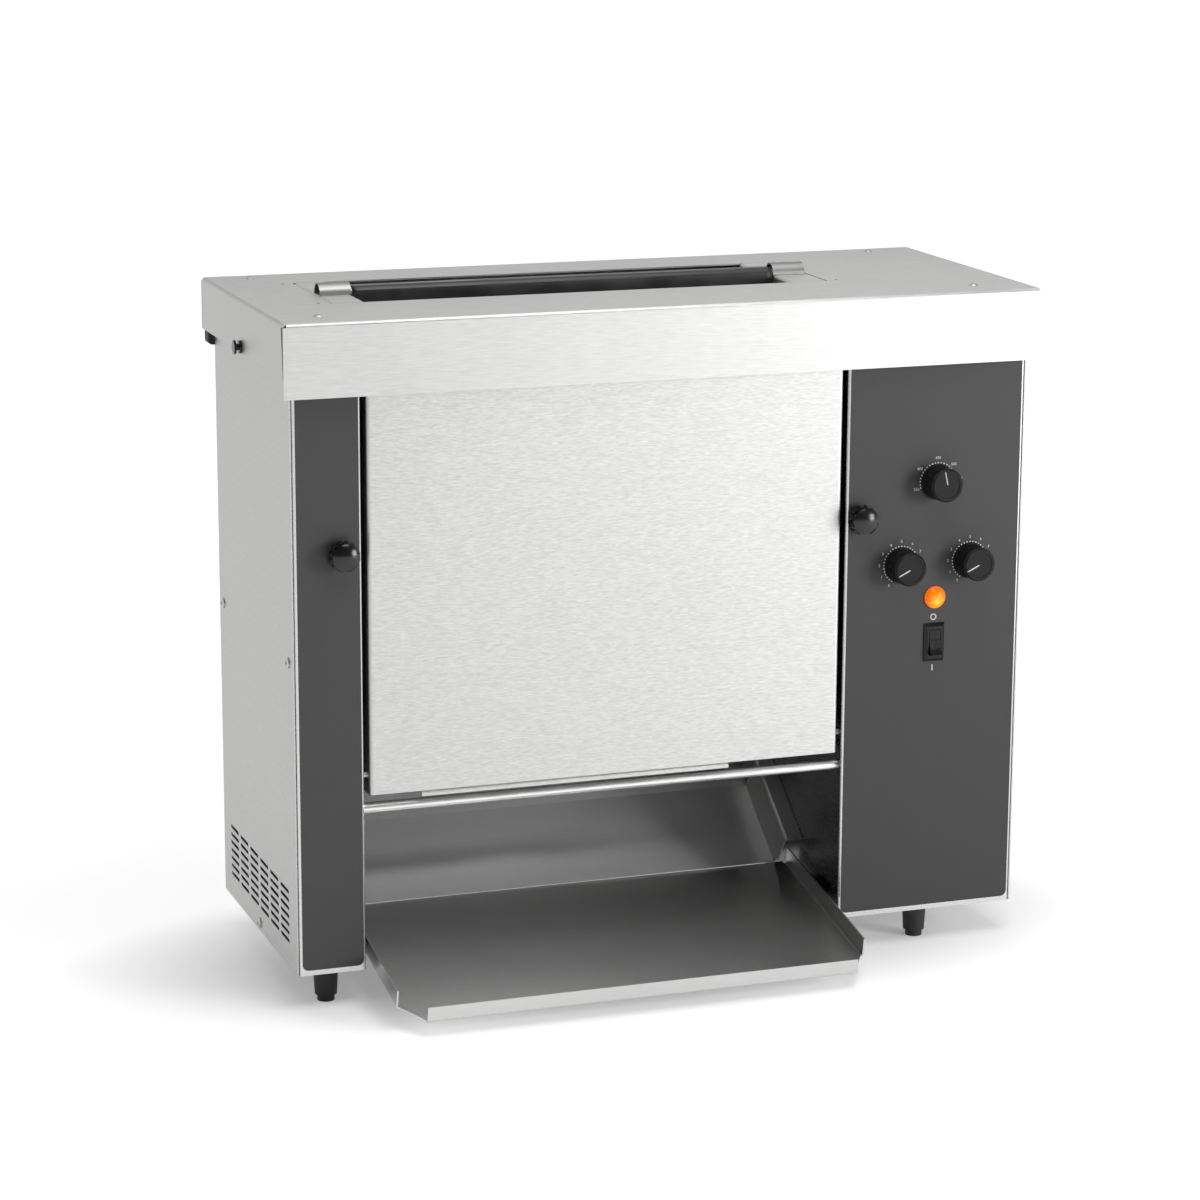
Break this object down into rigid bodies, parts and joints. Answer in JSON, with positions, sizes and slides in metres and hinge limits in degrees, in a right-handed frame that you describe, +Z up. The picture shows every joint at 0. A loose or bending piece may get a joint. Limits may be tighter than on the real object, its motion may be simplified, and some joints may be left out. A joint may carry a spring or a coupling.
{
  "type": "contact toaster",
  "caption": "Counter-top contact toaster: slotted steel hood over a heated upright platen between conveyor belts, control panel at the right, swing-down front cover, sloping discharge tray.",
  "frame": {"origin": "on the counter under the middle of the outer box", "axes": "+Z up, the front with the tray faces -Y, +X to the right seen from the front"},
  "size_m": [0.6012, 0.327, 0.5208],
  "materials": {
    "stainless": "brushed stainless sheet",
    "overlay": "satin dark grey film",
    "black_plastic": "black moulded plastic",
    "rubber": "black rubber",
    "release_cloth": "black coated glass cloth",
    "aluminium": "machined aluminium",
    "motor_paint": "grey paint",
    "bush_brass": "plain sintered bush",
    "amber": "clear amber lens",
    "board": "green circuit board",
    "ivory_plastic": "ivory moulded plastic"
  },
  "bodies": {
    "chassis": {"left_pillar": "stainless", "control_housing": "stainless", "left_overlay": "overlay", "control_overlay": "overlay", "left_side_panel": "stainless", "right_side_panel": "stainless", "rear_panel": "stainless", "base_pan": "stainless", "panel_screws": "stainless", "left_slot_plate": "stainless", "right_slot_plate": "stainless", "platen": "aluminium", "heating_elements": "stainless", "platen_studs": "stainless", "limit_thermostat": "black_plastic", "front_belt": "rubber", "rear_belt": "rubber", "shaft_bushes": "bush_brass", "front_gearmotor": "motor_paint", "rear_gearmotor": "motor_paint", "cover_pins": "stainless", "guard_rod": "stainless", "discharge_chute": "stainless", "tray_ledges": "stainless", "dial_bodies": "aluminium", "lamp_lens": "amber", "lamp_body": "black_plastic", "switch_frame": "black_plastic", "feet": "rubber", "rear_pads": "rubber", "speed_board": "board", "temperature_controller": "black_plastic", "terminal_block": "ivory_plastic", "fan_frame": "black_plastic", "cord_gland": "black_plastic"},
    "hood": {"hood": "stainless", "hood_rivets": "stainless"},
    "release_bar": {"release_bar": "stainless", "release_sheet": "release_cloth"},
    "front_cover": {"front_cover": "stainless", "cover_lip": "stainless"},
    "discharge_tray": {"discharge_tray": "stainless"},
    "left_thumbscrew": {"left_thumbscrew": "black_plastic"},
    "right_thumbscrew": {"right_thumbscrew": "black_plastic"},
    "temperature_knob": {"temperature_knob": "black_plastic"},
    "front_speed_knob": {"front_speed_knob": "black_plastic"},
    "rear_speed_knob": {"rear_speed_knob": "black_plastic"},
    "switch_rocker": {"switch_rocker": "black_plastic"},
    "left_clamp_knob": {"left_clamp_knob": "black_plastic"},
    "right_clamp_knob": {"right_clamp_knob": "black_plastic"},
    "front_drive_roller": {"front_drive_roller": "aluminium"},
    "front_idler_roller": {"front_idler_roller": "aluminium"},
    "rear_drive_roller": {"rear_drive_roller": "aluminium"},
    "rear_idler_roller": {"rear_idler_roller": "aluminium"},
    "fan_rotor": {"fan_rotor": "black_plastic"}
  },
  "joints": [
    {"name": "hood_lift", "type": "slide", "parent": "chassis", "child": "hood", "axis": [0, 0, 1], "range_m": [0, 0.15]},
    {"name": "left_thumbscrew_turn", "type": "hinge", "parent": "hood", "child": "left_thumbscrew", "pos_m": [-0.295, 0.04, 0.477], "axis": [1, 0, 0], "continuous": true},
    {"name": "right_thumbscrew_turn", "type": "hinge", "parent": "hood", "child": "right_thumbscrew", "pos_m": [0.295, 0.04, 0.477], "axis": [-1, 0, 0], "continuous": true},
    {"name": "release_bar_lift", "type": "slide", "parent": "chassis", "child": "release_bar", "axis": [0, 0, 1], "range_m": [0, 0.345]},
    {"name": "cover_swing", "type": "hinge", "parent": "chassis", "child": "front_cover", "pos_m": [0, -0.067, 0.174], "axis": [1, 0, 0], "range_deg": [0, 90]},
    {"name": "tray_pull", "type": "slide", "parent": "chassis", "child": "discharge_tray", "axis": [0, -1, 0], "range_m": [0, 0.2]},
    {"name": "temperature_turn", "type": "hinge", "parent": "chassis", "child": "temperature_knob", "pos_m": [0.2165, -0.0756, 0.3665], "axis": [0, 1, 0], "range_deg": [-118, 142]},
    {"name": "front_speed_turn", "type": "hinge", "parent": "chassis", "child": "front_speed_knob", "pos_m": [0.188, -0.0756, 0.3035], "axis": [0, 1, 0], "range_deg": [-34, 266]},
    {"name": "rear_speed_turn", "type": "hinge", "parent": "chassis", "child": "rear_speed_knob", "pos_m": [0.245, -0.0756, 0.3035], "axis": [0, 1, 0], "range_deg": [-34, 266]},
    {"name": "switch_rock", "type": "hinge", "parent": "chassis", "child": "switch_rocker", "pos_m": [0.2165, -0.0786, 0.2413], "axis": [1, 0, 0], "range_deg": [0, 24]},
    {"name": "left_clamp_turn", "type": "hinge", "parent": "chassis", "child": "left_clamp_knob", "pos_m": [-0.2514, -0.0756, 0.342], "axis": [0, 1, 0], "continuous": true},
    {"name": "right_clamp_turn", "type": "hinge", "parent": "chassis", "child": "right_clamp_knob", "pos_m": [0.1528, -0.0756, 0.342], "axis": [0, 1, 0], "continuous": true},
    {"name": "front_drive_spin", "type": "hinge", "parent": "chassis", "child": "front_drive_roller", "pos_m": [0, -0.0165, 0.19], "axis": [-1, 0, 0], "continuous": true},
    {"name": "front_idler_spin", "type": "hinge", "parent": "chassis", "child": "front_idler_roller", "pos_m": [0, -0.0165, 0.44], "axis": [-1, 0, 0], "continuous": true},
    {"name": "rear_drive_spin", "type": "hinge", "parent": "chassis", "child": "rear_drive_roller", "pos_m": [0, 0.1137, 0.19], "axis": [1, 0, 0], "continuous": true},
    {"name": "rear_idler_spin", "type": "hinge", "parent": "chassis", "child": "rear_idler_roller", "pos_m": [0, 0.1137, 0.44], "axis": [1, 0, 0], "continuous": true},
    {"name": "fan_spin", "type": "hinge", "parent": "chassis", "child": "fan_rotor", "pos_m": [0.21515, 0.1488, 0.1005], "axis": [0, 1, 0], "continuous": true}
  ],
  "couplings": [
    {"joint": "front_idler_spin", "follows": "front_drive_spin", "ratio": 1},
    {"joint": "rear_idler_spin", "follows": "rear_drive_spin", "ratio": 1}
  ]
}
